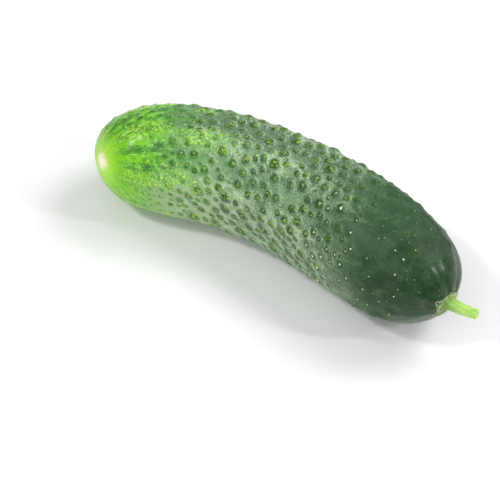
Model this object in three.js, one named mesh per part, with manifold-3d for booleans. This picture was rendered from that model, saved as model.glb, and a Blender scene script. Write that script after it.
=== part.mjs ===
// A warty pickling cucumber with its short cut stem, lying on its side.
// Millimetres, +Z up. X runs from the blossom end (-X) to the stem end (+X), the fruit bulges towards +Y,
// and Z = 0 is the surface that it lies on.

import * as THREE from 'three';
import { ConvexHull } from 'three/addons/math/ConvexHull.js';
import { mergeVertices } from 'three/addons/utils/BufferGeometryUtils.js';
import Module from 'manifold-3d';

const { cos, sin, abs, hypot, sqrt, PI } = Math;
const radians = THREE.MathUtils.degToRad;
const smooth = THREE.MathUtils.smoothstep;
const UP = new THREE.Vector3(0, 0, 1);

// Body: its bent centreline and its girth.
const LENGTH = 120.5; // along the centreline, from end to end
const MID_RADIUS = 16.3; // skin radius at mid length, under the warts
const TAPER = 0.062; // share that the stem end is thicker, and the blossom end thinner
const FLARE = 0.106; // share that both ends are thicker than the middle
const BLOSSOM_BLUNTNESS = 6.4; // exponents of the rounded ends: 2 is a half ellipse, more is blunter
const STEM_BLUNTNESS = 4.7;
const BEND = radians(66); // how far the centreline turns from end to end
const BEND_BIAS = -0.86; // -1 bends at the blossom end only, 0 is an even arc
const REST_DEPTH = 0.5; // how far the flat underside is cut into the skin
const MID_LENGTH = new THREE.Vector2(-4.13, 4.1); // puts the origin under the middle of the whole

// Low relief: blunt ribs along the fruit, and uneven swelling between them.
const RIB_COUNT = 7;
const RIB_HEIGHT = 1;
const RIB_ANGLE = radians(101); // where the first rib lies, measured from +Y up and over
const RIB_WANDER = radians(2);
const SWELL_HEIGHT = 0.22;

// Warts.
const WART_SEED = 20;
const WART_TRIES = 12000;
const WART_SMALLEST = 1; // radius at the foot where they are full grown
const WART_LARGEST = 1.85;
const WART_OUTER = 0.1; // share by which they are larger on the outer side of the bend
const WART_OUTER_ANGLE = radians(30);
const WART_SLANT = 0.16; // how much further towards the stem they reach on the inner side
const WART_RISE = 0.52; // height as a share of the foot's radius
const WART_GAP = 0.15; // bare skin between two feet where they are full grown
const WART_SIDES = 5;
const WART_CROWN = 0.45; // how far out the blunt top reaches, as a share of the foot
const WART_CROWN_SIDES = 3;

// Points on the bare skin between the warts.
const SKIN_SEED = 7;
const SKIN_TRIES = 16000;
const SKIN_SPACING = 3.4;
const SKIN_MARGIN = 1; // from a wart's foot to the nearest bare point

// Stem, its seat in the fruit's end, and the low collar of skin round it.
const STEM_LENGTH = 9.3;
const STEM_FOOT_RADIUS = 1.8;
const STEM_TIP_RADIUS = 1.4;
const STEM_SWELL = 0.4; // extra radius right at the foot
const STEM_ANGLES = 5;
const STEM_ANGLE_DEPTH = 0.09; // share of the radius by which its five edges stand out
const STEM_SIDES = 20;
const STEM_STEPS = 8;
const STEM_OFFSET = 1.3; // from the end of the centreline towards +Y
const STEM_START = { heading: radians(-14), rise: radians(4) };
const STEM_END = { heading: radians(2), rise: radians(12) };
const SEAT_RADIUS = 3.2;
const SEAT_DEPTH = 0.45;
const JOINT_GAP = 0.3;
const COLLAR_RADIUS = 4.3;
const COLLAR_WIDTH = 1.3;
const COLLAR_HEIGHT = 0.4;
const COLLAR_RINGS = [1.6, 2.9, 4.3, 6.2, 8.8]; // radii of the rings of points that shape it
const COLLAR_SPACING = 2;

// A station along the fruit is an angle from 0, the blossom end, to PI, the stem end. It says where the
// station lies on the centreline, from -1 to 1, and keeps the rounded ends smooth.
const along = (station) => -cos(station);
const stationAt = (place) => Math.acos(-THREE.MathUtils.clamp(place, -1, 1));
const girth = (place) => MID_RADIUS * (1 + TAPER * place + FLARE * place * place);
const bluntness = (place) => (place < 0 ? BLOSSOM_BLUNTNESS : STEM_BLUNTNESS);
const radiusAt = (place) => girth(place) * sqrt(Math.max(1 - abs(place) ** bluntness(place), 0));
const END_RADIUS = girth(1) * sqrt(STEM_BLUNTNESS / 2); // radius gained per radian from the stem end

// The centreline lies flat and turns with length. It is added up in short steps, then turned so that its
// two ends lie on a line along X, and moved so that mid length is in its place.
const CENTRE_STEPS = 2000;
const turned = (place) => -BEND / 2 * (place + BEND_BIAS * place * place / 2);
const trace = [new THREE.Vector2(0, 0)];
for (let i = 0; i < CENTRE_STEPS; i++) {
  const heading = turned(-1 + 2 * (i + 0.5) / CENTRE_STEPS);
  const step = new THREE.Vector2(cos(heading), sin(heading)).multiplyScalar(LENGTH / CENTRE_STEPS);
  trace.push(trace[i].clone().add(step));
}
const middle = trace[CENTRE_STEPS / 2].clone();
const lean = trace[CENTRE_STEPS].angle();
trace.forEach((point) => point.sub(middle).rotateAround(new THREE.Vector2(), -lean).add(MID_LENGTH));

function centreAt(place) {
  const step = Math.min((place + 1) / 2 * CENTRE_STEPS, CENTRE_STEPS - 1e-9);
  const i = Math.floor(step);
  const flat = trace[i].clone().lerp(trace[i + 1], step - i);
  return new THREE.Vector3(flat.x, flat.y, girth(place) - REST_DEPTH);
}

// The level direction across the fruit at a place on the centreline.
function acrossAt(place) {
  const heading = turned(place) - lean;
  return new THREE.Vector3(-sin(heading), cos(heading), 0);
}

function bareSkin(station, around) {
  const place = along(station);
  const radius = radiusAt(place);
  const point = centreAt(place).addScaledVector(acrossAt(place), radius * cos(around));
  return point.addScaledVector(UP, radius * sin(around));
}

// How far the skin moves for a small step along the station or round the fruit.
const TINY = 1e-4;
function stretchAt(station, around) {
  const ahead = bareSkin(station + TINY, around).sub(bareSkin(station - TINY, around));
  const aside = bareSkin(station, around + TINY).sub(bareSkin(station, around - TINY));
  return { ahead: ahead.divideScalar(2 * TINY), aside: aside.divideScalar(2 * TINY) };
}

function outwardAt(station, around) {
  const { ahead, aside } = stretchAt(station, around);
  return aside.cross(ahead).normalize();
}

function reliefAt(station, around) {
  const place = along(station);
  const body = 1 - smooth(abs(place), 0.45, 0.95);
  const wander = RIB_WANDER * sin(3 * place + 1);
  const crest = (1 + cos(RIB_COUNT * (around - RIB_ANGLE - wander))) / 2;
  const swell = sin(9 * place + 2 * around) + sin(14 * place - 3 * around + 2) + sin(5 * around + 11 * place);
  const fromStem = (PI - station) * END_RADIUS;
  const collar = COLLAR_HEIGHT * Math.exp(-(((fromStem - COLLAR_RADIUS) / COLLAR_WIDTH) ** 2));
  return body * (RIB_HEIGHT * crest * crest + SWELL_HEIGHT * swell / 2) + collar;
}

// Steps of the same whole-number sequence everywhere, so the warts always fall in the same places.
function randomFrom(seed) {
  let state = seed;
  return () => {
    state = (state * 1664525 + 1013904223) % 4294967296;
    return state / 4294967296;
  };
}

// Warts crowd the blossom half and the middle, thin out past it, and leave both tips bare. They are small
// near the blossom end and low towards the stem.
const outerShare = (around) => cos(around - WART_OUTER_ANGLE);
function crowding(place, around) {
  const blossom = smooth(place, -0.97, -0.5);
  const stem = 1 - 0.95 * smooth(place + WART_SLANT * outerShare(around), 0.3, 0.62);
  return blossom * stem * (1 - smooth(place, 0.85, 0.9));
}
const wartScale = (place) => 0.55 + 0.45 * smooth(place, -0.9, -0.35) - 0.35 * smooth(place, 0.3, 0.6);

function placeWarts() {
  const random = randomFrom(WART_SEED);
  const warts = [];
  for (let i = 0; i < WART_TRIES; i++) {
    const place = 2 * random() - 1;
    const around = 2 * PI * random();
    const middling = THREE.MathUtils.lerp(WART_SMALLEST, WART_LARGEST, random());
    const size = middling * (1 + WART_OUTER * outerShare(around));
    const chance = random();
    const turn = 2 * PI * random();
    if (chance > crowding(place, around)) continue;
    const station = stationAt(place);
    const middle = bareSkin(station, around);
    if (warts.some((wart) => wart.middle.distanceTo(middle) < wart.size + size + WART_GAP)) continue;
    const foot = size * wartScale(place);
    warts.push({ station, around, middle, size, foot, turn, height: WART_RISE * foot * wartScale(place) });
  }
  return warts;
}

// The skin's points are { station, around, raise }, where raise is a wart's height there.
function wartPoints(wart) {
  const { ahead, aside } = stretchAt(wart.station, wart.around);
  const ring = (sides, reach, raise) => Array.from({ length: sides }, (_, i) => {
    const angle = wart.turn + 2 * PI * i / sides;
    return {
      station: wart.station + wart.foot * reach * cos(angle) / ahead.length(),
      around: wart.around + wart.foot * reach * sin(angle) / aside.length(),
      raise,
    };
  });
  return [...ring(WART_CROWN_SIDES, WART_CROWN, wart.height), ...ring(WART_SIDES, 1, 0)];
}

function collarPoints() {
  return COLLAR_RINGS.flatMap((radius) => {
    const station = PI - radius / END_RADIUS;
    const count = Math.round(2 * PI * radius / COLLAR_SPACING);
    const step = 2 * PI / count;
    return Array.from({ length: count }, (_, i) => ({ station, around: step * i + radius, raise: 0 }));
  });
}

function skinPoints() {
  const random = randomFrom(SKIN_SEED);
  const warts = placeWarts();
  const bare = collarPoints();
  const middles = bare.map(({ station, around }) => bareSkin(station, around));
  for (let i = 0; i < SKIN_TRIES; i++) {
    const station = PI * random();
    const around = 2 * PI * random();
    const middle = bareSkin(station, around);
    if (warts.some((wart) => wart.middle.distanceTo(middle) < wart.foot + SKIN_MARGIN)) continue;
    if (middles.some((other) => other.distanceTo(middle) < SKIN_SPACING)) continue;
    middles.push(middle);
    bare.push({ station, around, raise: 0 });
  }
  return [...bare, ...warts.flatMap(wartPoints)];
}

// The points are joined on a sphere, where each keeps its angle round the fruit and is moved along as on a
// Mercator map, so small shapes keep their proportions. The sphere's convex hull then joins every point to
// its nearest neighbours, and each point goes to its own place on the fruit.
const MAP_STEPS = 1200;
const northings = [0];
for (let i = 0; i < MAP_STEPS; i++) {
  const station = PI * (i + 0.5) / MAP_STEPS;
  const widening = (radiusAt(along(station + TINY)) - radiusAt(along(station - TINY))) / (2 * TINY);
  const slant = hypot(widening, LENGTH / 2 * sin(station));
  northings.push(northings[i] + slant / radiusAt(along(station)) * PI / MAP_STEPS);
}

function onSphere({ station, around }) {
  const step = Math.min(station / PI * MAP_STEPS, MAP_STEPS - 1e-9);
  const i = Math.floor(step);
  const northing = THREE.MathUtils.lerp(northings[i], northings[i + 1], step - i) - northings[MAP_STEPS / 2];
  const radius = 1 / Math.cosh(northing);
  return new THREE.Vector3(radius * cos(around), radius * sin(around), Math.tanh(northing));
}

function onFruit({ station, around, raise }) {
  const height = reliefAt(station, around) + raise;
  return bareSkin(station, around).addScaledVector(outwardAt(station, around), height);
}

function wrapSkin(points) {
  const spots = points.map(onSphere);
  const places = new Map(spots.map((spot, i) => [spot, onFruit(points[i])]));
  const positions = [];
  for (const face of new ConvexHull().setFromPoints(spots).faces) {
    let edge = face.edge;
    do {
      positions.push(...places.get(edge.head().point).toArray());
      edge = edge.next;
    } while (edge !== face.edge);
  }
  const geometry = new THREE.BufferGeometry();
  geometry.setAttribute('position', new THREE.Float32BufferAttribute(positions, 3));
  return geometry;
}

// Cutting one solid with another.
const wasm = await Module();
wasm.setup();

function toSolid(geometry) {
  const bare = geometry.clone();
  bare.deleteAttribute('normal');
  bare.deleteAttribute('uv');
  const merged = mergeVertices(bare);
  const vertProperties = new Float32Array(merged.attributes.position.array);
  const triVerts = new Uint32Array(merged.index.array);
  return new wasm.Manifold(new wasm.Mesh({ numProp: 3, vertProperties, triVerts }));
}

function toGeometry(solid) {
  const mesh = solid.getMesh();
  const geometry = new THREE.BufferGeometry();
  geometry.setAttribute('position', new THREE.BufferAttribute(mesh.vertProperties, 3));
  geometry.setIndex(new THREE.BufferAttribute(mesh.triVerts, 1));
  return geometry;
}

// The stem leaves the fruit beside the end of the centreline, along STEM_START, and bends to STEM_END.
function direction({ heading, rise }) {
  return new THREE.Vector3(cos(rise) * cos(heading), cos(rise) * sin(heading), sin(rise));
}
const stemStation = PI - STEM_OFFSET / END_RADIUS;
const stemRoot = bareSkin(stemStation, 0);
const stemOut = direction(STEM_START);

function makeFruit() {
  const skin = toSolid(wrapSkin(skinPoints()));
  const below = new THREE.BoxGeometry(2 * LENGTH, 2 * LENGTH, LENGTH);
  below.translate(0, 0, -LENGTH / 2);
  const seat = new THREE.CylinderGeometry(SEAT_RADIUS, SEAT_RADIUS, 2 * SEAT_RADIUS, STEM_SIDES);
  seat.translate(0, SEAT_RADIUS - SEAT_DEPTH, 0);
  seat.applyQuaternion(new THREE.Quaternion().setFromUnitVectors(new THREE.Vector3(0, 1, 0), stemOut));
  seat.translate(...stemRoot.toArray());
  return toGeometry(skin.subtract(toSolid(below)).subtract(toSolid(seat)));
}

function makeStem() {
  const foot = stemRoot.clone().addScaledVector(stemOut, JOINT_GAP - SEAT_DEPTH);
  const elbow = foot.clone().addScaledVector(stemOut, STEM_LENGTH / 2);
  const tip = elbow.clone().addScaledVector(direction(STEM_END), STEM_LENGTH / 2);
  const path = new THREE.QuadraticBezierCurve3(foot, elbow, tip);
  const geometry = new THREE.CylinderGeometry(1, 1, 1, STEM_SIDES, STEM_STEPS);
  const position = geometry.attributes.position;
  for (let i = 0; i < position.count; i++) {
    const reach = position.getY(i) + 0.5;
    const angle = Math.atan2(position.getX(i), position.getZ(i));
    const edge = 1 + STEM_ANGLE_DEPTH * cos(STEM_ANGLES * angle);
    const taper = THREE.MathUtils.lerp(STEM_FOOT_RADIUS, STEM_TIP_RADIUS, reach);
    const radius = edge * (taper + STEM_SWELL * Math.exp(-STEM_STEPS * reach));
    const ahead = path.getTangent(reach);
    const aside = new THREE.Vector3().crossVectors(UP, ahead).normalize();
    const above = new THREE.Vector3().crossVectors(ahead, aside);
    const point = path.getPoint(reach);
    point.addScaledVector(above, radius * position.getX(i));
    point.addScaledVector(aside, radius * position.getZ(i));
    position.setXYZ(i, point.x, point.y, point.z);
  }
  return geometry;
}

const skinMaterial = new THREE.MeshStandardMaterial({ color: 0x4f8a4a, roughness: 0.45, metalness: 0 });
const stemMaterial = new THREE.MeshStandardMaterial({ color: 0x9fd84e, roughness: 0.55, metalness: 0 });

const fruit = new THREE.Mesh(makeFruit(), skinMaterial);
fruit.name = 'fruit';
const stem = new THREE.Mesh(makeStem(), stemMaterial);
stem.name = 'stem';

const cucumber = new THREE.Group();
cucumber.add(fruit, stem);

export default cucumber;
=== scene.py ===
"""A warty pickling cucumber with its cut stem, dressed over its CAD solids.

The form repeats the rules of the CAD source, so the fine skin has its warts where the solid has them.
Pimples, creases, pillows, furrows, spines and bristles are the scene's own. Forms are worked out in
millimetres, in the CAD's frame, and scaled to metres where a mesh is made.
"""

import math

import bpy
import numpy as np
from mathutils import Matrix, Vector, noise


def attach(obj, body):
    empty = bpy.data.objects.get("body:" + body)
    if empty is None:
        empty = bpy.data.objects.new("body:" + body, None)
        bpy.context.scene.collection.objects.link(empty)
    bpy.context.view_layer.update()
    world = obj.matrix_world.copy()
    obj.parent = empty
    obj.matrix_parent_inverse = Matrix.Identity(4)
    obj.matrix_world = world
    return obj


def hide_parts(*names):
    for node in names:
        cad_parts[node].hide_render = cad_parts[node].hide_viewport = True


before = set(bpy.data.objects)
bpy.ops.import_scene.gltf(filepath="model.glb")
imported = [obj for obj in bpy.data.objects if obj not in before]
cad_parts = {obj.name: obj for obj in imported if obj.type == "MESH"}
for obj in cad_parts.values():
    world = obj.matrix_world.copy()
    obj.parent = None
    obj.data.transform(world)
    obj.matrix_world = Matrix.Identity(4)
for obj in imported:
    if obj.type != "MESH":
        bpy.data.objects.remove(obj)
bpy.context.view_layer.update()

MM = 0.001
TAU = 2 * math.pi

# Body, as in the CAD source.
LENGTH = 120.5  # along the centreline
MID_RADIUS = 16.3
TAPER = 0.062  # share that the stem end is thicker, and the blossom end thinner
FLARE = 0.106  # share that both ends are thicker than the middle
BLOSSOM_BLUNTNESS = 6.4  # exponents of the rounded ends
STEM_BLUNTNESS = 4.7
BEND = math.radians(66)
BEND_BIAS = -0.86  # 0 is an even arc, and less bends more at the blossom end
CENTRE_STEPS = 2000
REST_DEPTH = 0.5  # how far the flat underside is cut into the skin
MID_LENGTH = np.array([-4.13, 4.1])
RIB_COUNT = 7
RIB_HEIGHT = 1.0
RIB_ANGLE = math.radians(101)
RIB_WANDER = math.radians(2)
SWELL_HEIGHT = 0.22

# Warts, as in the CAD source.
WART_SEED = 20
WART_TRIES = 12000
WART_SIZES = (1.0, 1.85)  # radius at the foot where they are full grown
WART_OUTER = 0.1  # share by which they are larger on the outer side
WART_OUTER_ANGLE = math.radians(30)
WART_SLANT = 0.16  # how much further towards the stem they reach on the inner side
WART_RISE = 0.52  # in foot radii
WART_GAP = 0.15

# Stem and the collar of skin round it, as in the CAD source.
STEM_LENGTH = 9.3
STEM_FOOT_RADIUS = 1.8
STEM_TIP_RADIUS = 1.4
STEM_SWELL = 0.4
STEM_ANGLES = 5
STEM_ANGLE_DEPTH = 0.09
STEM_OFFSET = 1.3  # from the end of the centreline
STEM_START = (math.radians(-14), math.radians(4))  # heading, rise
STEM_END = (math.radians(2), math.radians(12))
SEAT_DEPTH = 0.45
JOINT_GAP = 0.3
COLLAR_RADIUS = 4.3
COLLAR_WIDTH = 1.3
COLLAR_HEIGHT = 0.4

# The fine skin's rings of points, and its shape at a wart.
AROUND_STEPS = 288
RING_STEPS = 336
RING_THINNING = 0.4  # share of the rings that is left out past the warts
DOME_SHARE = 0.4  # of a wart's height, the rest being its broad hump's
DOME_EDGE = 1.15  # how softly a dome meets the skin round it
HUMP_WIDTH = 1.3  # in foot radii
CROWDED_HUMP = 0.4  # share by which a hump is broader on the crowded inner side
INNER_ANGLE = math.radians(195)
CROWDED_WARTS = (0.72, 0.9)  # inner shares between which warts, and the skin, go over to the crowded kind
CROWDED_SKIN = (0.75, 0.92)
CREASE_RISE = 0.18  # height over a crease at which it has mostly faded
FOLD_HEIGHT = 0.3  # how far the skin stands up along a crease
FACING_CREASE = 0.1  # what is left of a crowded crease on a wart's side towards the blossom end
PILLOW_RISE = 0.07  # height over a crease at which the painted shade on the skin's pillows has most of its strength

# Pimples: small warts in the gaps between the CAD's own.
PIMPLE_SEED = 91
PIMPLE_TRIES = 9000
PIMPLE_CROWDING = 0.2  # extra chance near the blossom end
PIMPLE_EVERYWHERE = 0.03
PIMPLE_SIZES = (0.5, 0.85)
PIMPLE_RISE = 0.42
PIMPLE_GAP = 0.1
PIMPLE_MIDDLE = -0.05  # their stretch of the centreline
PIMPLE_REACH = 0.88

# Lumps of the fine skin, furrows at the stem end, and the blossom end's scar and stripes.
LUMP_HEIGHT = 0.2
LUMP_CLOSENESS = 0.28
GRAIN_SHARE = 0.4  # finer lumps on the lumps
GRAIN_CLOSENESS = 0.9
FURROW_START = 0.66  # places between which they deepen
FURROW_FULL = 0.94
FURROW_DEPTH = 0.27
FURROW_CLOSENESS = 3.8
FURROW_DRAWING = 0.3  # how fast they change lengthwise, against round the fruit
SCAR_STATION = 0.21
SCAR_AROUND = math.radians(130)
SCAR_HEIGHT = 0.12
SCAR_RADIUS = 2.2
SCAR_GROOVE_DEPTH = 0.1
SCAR_GROOVE_RADIUS = 2.6
SCAR_GROOVE_WIDTH = 0.7
FAN_END = -0.35  # streaks open out from the scar up to here, and run straight from here on
STRIPE_COUNT = 12  # pale stripes that run from the blossom end
STRIPE_ANGLE = math.radians(128)
STRIPE_WANDER = 0.06
RIPE_ANGLE = math.radians(146)  # the blossom end is palest here

# Fine stem.
STEM_SIDES = 120
STEM_RINGS = 70
STEM_SINK = -0.03  # share of its length at which it starts, a little under its foot
STEM_GRAIN_RADIUS = 2.0
COARSE_FIBRES = 20
COARSE_FIBRE_DEPTH = 0.018
FINE_FIBRES = 35
FINE_FIBRE_DEPTH = 0.012
CUT_INSETS = [0.06, 0.3, 0.6, 0.85]  # the cut face's rings: how far in each one lies, and how deep
CUT_SINKS = [0.03, 0.12, 0.16, 0.08]
CUT_MIDDLE_SINK = 0.06


# ---------------- form
#
# A station along the fruit is an angle from 0, the blossom end, to pi, the stem end. Its place is where it
# lies on the centreline, from -1 to 1. An angle around starts on the outer side and goes over the top.

def smooth(value, low, high):
    t = np.clip((np.asarray(value, float) - low) / (high - low), 0, 1)
    return t * t * (3 - 2 * t)


def girth(place):
    return MID_RADIUS * (1 + TAPER * place + FLARE * place * place)


def radius_at(place):
    bluntness = np.where(place < 0, BLOSSOM_BLUNTNESS, STEM_BLUNTNESS)
    return girth(place) * np.sqrt(np.maximum(1 - np.abs(place) ** bluntness, 0))


END_RADIUS = girth(1.0) * math.sqrt(STEM_BLUNTNESS / 2)  # radius gained per radian from the stem end


def turned(place):
    return -BEND / 2 * (place + BEND_BIAS * place * place / 2)


def trace_centreline():
    heading = turned(-1 + 2 * (np.arange(CENTRE_STEPS) + 0.5) / CENTRE_STEPS)
    steps = np.stack([np.cos(heading), np.sin(heading)], -1) * LENGTH / CENTRE_STEPS
    points = np.vstack([[0, 0], np.cumsum(steps, axis=0)])
    lean = math.atan2(points[-1][1], points[-1][0])
    points -= points[CENTRE_STEPS // 2]
    turn = np.array([[math.cos(lean), -math.sin(lean)], [math.sin(lean), math.cos(lean)]])
    return points @ turn + MID_LENGTH, lean


CENTRELINE, LEAN = trace_centreline()
CENTRE_PLACES = np.linspace(-1, 1, CENTRE_STEPS + 1)


def bare_skin(station, around):
    place = -np.cos(station)
    radius = radius_at(place)
    heading = turned(place) - LEAN
    x = np.interp(place, CENTRE_PLACES, CENTRELINE[:, 0]) - np.sin(heading) * radius * np.cos(around)
    y = np.interp(place, CENTRE_PLACES, CENTRELINE[:, 1]) + np.cos(heading) * radius * np.cos(around)
    z = girth(place) - REST_DEPTH + radius * np.sin(around)
    return np.stack([x, y, z], -1)


TINY = 1e-4  # a step to measure directions by


def unit(vectors):
    return vectors / np.maximum(np.linalg.norm(vectors, axis=-1, keepdims=True), 1e-12)


def directions(station, around):
    """Unit vectors along the skin towards the stem, round it, and out of it."""
    ahead = bare_skin(station + TINY, around) - bare_skin(station - TINY, around)
    aside = bare_skin(station, around + TINY) - bare_skin(station, around - TINY)
    return unit(ahead), unit(aside), unit(np.cross(aside, ahead))


def random_from(seed):
    """The CAD source's own sequence of random shares."""
    state = seed
    while True:
        state = (state * 1664525 + 1013904223) % 4294967296
        yield state / 4294967296


def outer_share(around):
    """1 on the outer side of the bend and -1 on the inner one."""
    return np.cos(around - WART_OUTER_ANGLE)


def inner_share(around):
    """1 on the inner side of the bend and 0 on the outer one."""
    return (1 + np.cos(around - INNER_ANGLE)) / 2


def crowding(place, around):
    """The chance that a wart may stand: none at the very ends, and little on the stem third."""
    stem = 1 - 0.95 * smooth(place + WART_SLANT * outer_share(around), 0.3, 0.62)
    return smooth(place, -0.97, -0.5) * stem * (1 - smooth(place, 0.85, 0.9))


def wart_scale(place):
    """How far grown the warts are: smaller towards both ends."""
    return 0.55 + 0.45 * smooth(place, -0.9, -0.35) - 0.35 * smooth(place, 0.3, 0.6)


def between(span, share):
    return span[0] + (span[1] - span[0]) * share


def tries(seed, count, sizes):
    """Places to try for a wart, each with an angle around, a size, a chance and a random share."""
    random = random_from(seed)
    for _ in range(count):
        place = 2 * next(random) - 1
        around = TAU * next(random)
        yield place, around, between(sizes, next(random)), next(random), next(random)


def overlaps(middle, middles, apart):
    return (np.linalg.norm(middles - middle, axis=1) < apart).any()


def place_warts():
    """The CAD's own warts: one row each of station, around, foot radius, height and a random share."""
    rows, middles, sizes = [], np.zeros((0, 3)), np.zeros(0)
    for place, around, size, chance, share in tries(WART_SEED, WART_TRIES, WART_SIZES):
        if chance > crowding(place, around):
            continue
        size *= 1 + WART_OUTER * outer_share(around)
        station = math.acos(-place)
        middle = bare_skin(station, around)
        if overlaps(middle, middles, sizes + size + WART_GAP):
            continue
        middles, sizes = np.vstack([middles, middle]), np.append(sizes, size)
        foot = size * float(wart_scale(place))
        rows.append((station, around, foot, WART_RISE * foot * float(wart_scale(place)), share))
    return rows, middles


def place_pimples(rows, middles):
    """The rows and middles of all warts, with pimples in the gaps between them."""
    for place, around, foot, chance, share in tries(PIMPLE_SEED, PIMPLE_TRIES, PIMPLE_SIZES):
        likely = PIMPLE_CROWDING * (1 - smooth(place, -0.75, -0.3)) + PIMPLE_EVERYWHERE
        if chance > likely or abs(place - PIMPLE_MIDDLE) > PIMPLE_REACH:
            continue
        station = math.acos(-place)
        middle = bare_skin(station, around)
        if overlaps(middle, middles, np.array([row[2] for row in rows]) + foot + PIMPLE_GAP):
            continue
        middles = np.vstack([middles, middle])
        rows.append((station, around, foot, PIMPLE_RISE * foot * float(wart_scale(place)), share))
    return rows, middles


wart_rows, WART_MIDDLES = place_pimples(*place_warts())
WART_STATION, WART_AROUND, WART_FOOT, WART_HEIGHT, WART_SHARE = np.array(wart_rows).T
WART_AHEAD, WART_ASIDE, WART_OUT = directions(WART_STATION, WART_AROUND)


def rib_crest(place, around):
    wander = RIB_WANDER * np.sin(3 * place + 1)
    return (1 + np.cos(RIB_COUNT * (around - RIB_ANGLE - wander))) / 2


def relief(station, around):
    """Ribs, swelling and the collar, as in the CAD."""
    place = -np.cos(station)
    body = 1 - smooth(np.abs(place), 0.45, 0.95)
    swell = np.sin(9 * place + 2 * around) + np.sin(14 * place - 3 * around + 2)
    swell = swell + np.sin(5 * around + 11 * place)
    collar = (math.pi - station) * END_RADIUS - COLLAR_RADIUS
    collar = COLLAR_HEIGHT * np.exp(-((collar / COLLAR_WIDTH) ** 2))
    return body * (RIB_HEIGHT * rib_crest(place, around) ** 2 + SWELL_HEIGHT * swell / 2) + collar


def fanned(place, around):
    """The angle round the fruit, shifted at the blossom end so that it opens out from the scar."""
    shift = radius_at(-math.cos(SCAR_STATION)) * (1 - smooth(place, -1, FAN_END))
    above = radius_at(place) * np.sin(around) - shift * math.sin(SCAR_AROUND)
    beside = radius_at(place) * np.cos(around) - shift * math.cos(SCAR_AROUND)
    return np.arctan2(above, beside)


CHUNK = 8192  # points that are measured against all warts at a time


def chunks(count):
    for start in range(0, count, CHUNK):
        yield slice(start, start + CHUNK)


def squared_distances(points, targets):
    return (points ** 2).sum(-1)[:, None] + (targets ** 2).sum(-1)[None] - 2 * points @ targets.T


def wart_height(points):
    """The height of the highest wart over each point, how far the next lies below it, and which one it is.

    Each wart is a steep dome on a broad hump that meets its neighbours in a crease.
    """
    width = HUMP_WIDTH * (1 + CROWDED_HUMP * smooth(inner_share(WART_AROUND), *CROWDED_WARTS))
    raised, lead, highest = np.zeros(len(points)), np.zeros(len(points)), np.zeros(len(points), int)
    for chosen in chunks(len(points)):
        reach = squared_distances(points[chosen], WART_MIDDLES) / WART_FOOT ** 2
        dome = np.maximum(1 - reach, 0) ** DOME_EDGE
        hump = np.exp(-reach / width ** 2)
        both = (DOME_SHARE * dome + (1 - DOME_SHARE) * hump) * WART_HEIGHT
        second, first = np.partition(both, -2, axis=1)[:, -2:].T
        raised[chosen], lead[chosen], highest[chosen] = first, first - second, both.argmax(axis=1)
    return raised, lead, highest


def nearest_wart(points):
    """Which wart's foot lies nearest to each point."""
    nearest = np.zeros(len(points), int)
    for chosen in chunks(len(points)):
        apart = np.sqrt(np.maximum(squared_distances(points[chosen], WART_MIDDLES), 0))
        nearest[chosen] = (apart - WART_FOOT).argmin(axis=1)
    return nearest


def creases(bare, around, ridge):
    """The warts' height at each point, and how much crease and how much painted pillow shade lies there.
    Creases stand mostly on each wart's lit side, raised into folds and painted as a highlight; the pillows of
    skin take painted shade on the side away from the light.
    """
    warts, lead, highest = wart_height(bare)
    offset = unit(bare - WART_MIDDLES[highest])
    # Greatest on the wart's side towards the stem, the side that is painted as lit.
    lit_side = ((offset * WART_AHEAD[highest]).sum(-1) - (offset * WART_ASIDE[highest]).sum(-1)) / math.sqrt(2)
    crowded = smooth(inner_share(around), *CROWDED_SKIN)
    folded = np.maximum(between((0.25, 1), smooth(ridge, 0.3, 0.75)), crowded)
    # Creases, their folds and their painted highlight stand mostly on the lit side.
    sided = np.maximum(smooth(lit_side, -0.3, 0.7), FACING_CREASE * crowded)
    crease = folded * np.exp(-lead / CREASE_RISE) * smooth(warts, 0.03, 0.14) * sided
    # Painted shade: the skin's pillows darken on the side away from the light.
    pillow = crowded * smooth(warts, 0.06, 0.3) * (1 - np.exp(-lead / PILLOW_RISE)) * smooth(-lit_side, -1.6, 0.4)
    return warts, crease, pillow


def noise_at(points):
    return np.array([noise.noise(Vector(point)) for point in points])


def lumps(bare):
    return noise_at(bare * LUMP_CLOSENESS) + GRAIN_SHARE * noise_at(bare * GRAIN_CLOSENESS)


def furrows(place, around):
    grain = np.stack([np.cos(around), np.sin(around), FURROW_DRAWING * place], -1) * FURROW_CLOSENESS
    return FURROW_DEPTH * smooth(place, FURROW_START, FURROW_FULL) * noise_at(grain)


def scar_height(scar):
    """The dry scar stands up a little, inside a shallow groove."""
    groove = np.exp(-(((scar - SCAR_GROOVE_RADIUS) / SCAR_GROOVE_WIDTH) ** 2))
    return SCAR_HEIGHT * np.exp(-((scar / SCAR_RADIUS) ** 4)) - SCAR_GROOVE_DEPTH * groove


# ---------------- meshes

def mesh_object(name, points, faces):
    mesh = bpy.data.meshes.new(name)
    mesh.from_pydata((np.asarray(points) * MM).tolist(), [], faces)
    mesh.polygons.foreach_set("use_smooth", [True] * len(mesh.polygons))
    mesh.update()
    piece = bpy.data.objects.new(name, mesh)
    bpy.context.scene.collection.objects.link(piece)
    return piece


def grid_faces(rings, sides, first, last):
    """Quads between rings of points, closed at both ends by fans to the points first and last."""
    start = np.arange(rings - 1)[:, None] * sides
    side = np.arange(sides)[None]
    step = (side + 1) % sides
    quads = np.stack([start + side, start + step, start + sides + step, start + sides + side], -1)
    faces = [(first, int(b), int(a)) for a, b in zip(side[0], step[0])]
    faces += quads.reshape(-1, 4).tolist()
    top = (rings - 1) * sides
    faces += [(last, top + int(a), top + int(b)) for a, b in zip(side[0], step[0])]
    return faces


def closed_piece(name, points, rings, sides):
    """A closed mesh from rings of points that are followed by one point for each end."""
    return mesh_object(name, points, grid_faces(rings, sides, len(points) - 2, len(points) - 1))


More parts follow.
